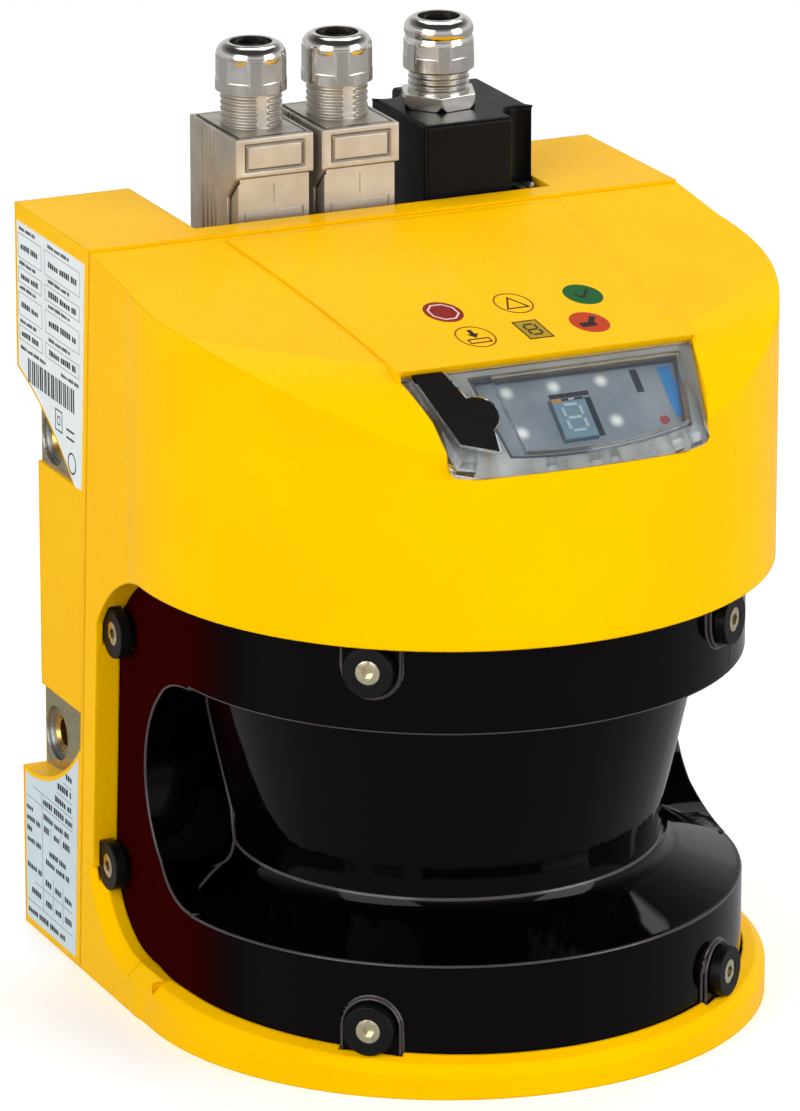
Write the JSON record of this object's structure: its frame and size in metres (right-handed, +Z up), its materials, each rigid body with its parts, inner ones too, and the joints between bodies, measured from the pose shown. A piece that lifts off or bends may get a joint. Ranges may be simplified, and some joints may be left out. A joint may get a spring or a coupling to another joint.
{
  "type": "safety laser scanner",
  "caption": "Boxy safety laser scanner with a rounded hood, dark front screen, display window, plug-in connectors with cable glands on top and a spinning mirror inside.",
  "frame": {"origin": "middle of the base's underside, between the flat sides", "axes": "+X to the right seen from the front, front screen faces -Y, +Z up along the mirror axis"},
  "size_m": [0.1572, 0.1611, 0.225],
  "materials": {
    "yellow_paint": "powder coat, light orange peel",
    "screen_plastic": "polished dark filter plastic",
    "black_plastic": "moulded",
    "rubber": "moulded",
    "zinc_cast": "nickel-plated zinc die casting",
    "nickel": "nickel plate",
    "steel": "turned",
    "brass": "turned",
    "aluminium": "machined",
    "clear": "clear moulding",
    "mirror": "front-coated",
    "label_film": "printed film",
    "pcb": "solder mask",
    "led": "diffused lens",
    "diffuser": "frosted grey moulding"
  },
  "bodies": {
    "housing": {"front_housing": "yellow_paint", "rear_housing": "yellow_paint", "housing_gasket": "rubber", "housing_screws": "steel", "thread_inserts": "brass", "upper_label": "label_film", "lower_label": "label_film", "front_screen": "screen_plastic", "screen_seal": "rubber", "screen_bushes": "black_plastic", "screen_screws": "steel", "display_window": "clear", "window_gasket": "rubber", "light_tray": "diffuser", "display_board": "pcb", "status_leds": "led", "digit_display": "black_plastic", "config_socket": "nickel", "optics_frame": "aluminium", "laser_module": "brass", "receiver_lens": "clear", "receiver_board": "pcb", "motor_housing": "aluminium", "motor_bearings": "steel", "encoder_sensor": "black_plastic", "main_board": "pcb", "board_standoffs": "brass", "io_board": "pcb", "bus_sockets": "black_plastic", "left_plug_body": "zinc_cast", "left_gland_nut": "nickel", "left_gland_seal": "rubber", "right_plug_body": "zinc_cast", "right_gland_nut": "nickel", "right_gland_seal": "rubber", "system_plug_cover": "black_plastic", "system_plug_insert": "black_plastic", "system_plug_screws": "steel", "system_gland_body": "nickel", "system_lock_nut": "nickel", "system_gland_nut": "nickel", "system_gland_seal": "rubber"},
    "rotor": {"motor_shaft": "steel", "encoder_disc": "steel", "mirror_carrier": "black_plastic", "scan_mirror": "mirror"},
    "left_sleeve": {"left_plug_sleeve": "zinc_cast"},
    "right_sleeve": {"right_plug_sleeve": "zinc_cast"},
    "cap": {"port_cap": "rubber"}
  },
  "joints": [
    {"name": "mirror_spin", "type": "hinge", "parent": "housing", "child": "rotor", "pos_m": [0, -0.0025, 0.06], "axis": [0, 0, 1], "continuous": true},
    {"name": "left_sleeve_slide", "type": "slide", "parent": "housing", "child": "left_sleeve", "axis": [0, 0, 1], "range_m": [0, 0.005], "stiffness_N_per_m": 400, "springref_m": -0.002},
    {"name": "right_sleeve_slide", "type": "slide", "parent": "housing", "child": "right_sleeve", "axis": [0, 0, 1], "range_m": [0, 0.005], "stiffness_N_per_m": 400, "springref_m": -0.002},
    {"name": "cap_hinge", "type": "hinge", "parent": "housing", "child": "cap", "pos_m": [-0.03, -0.05733, 0.1721], "axis": [-1, 0, 0], "range_deg": [0, 80], "stiffness_Nm_per_rad": 0.002, "springref_deg": -11.46}
  ]
}
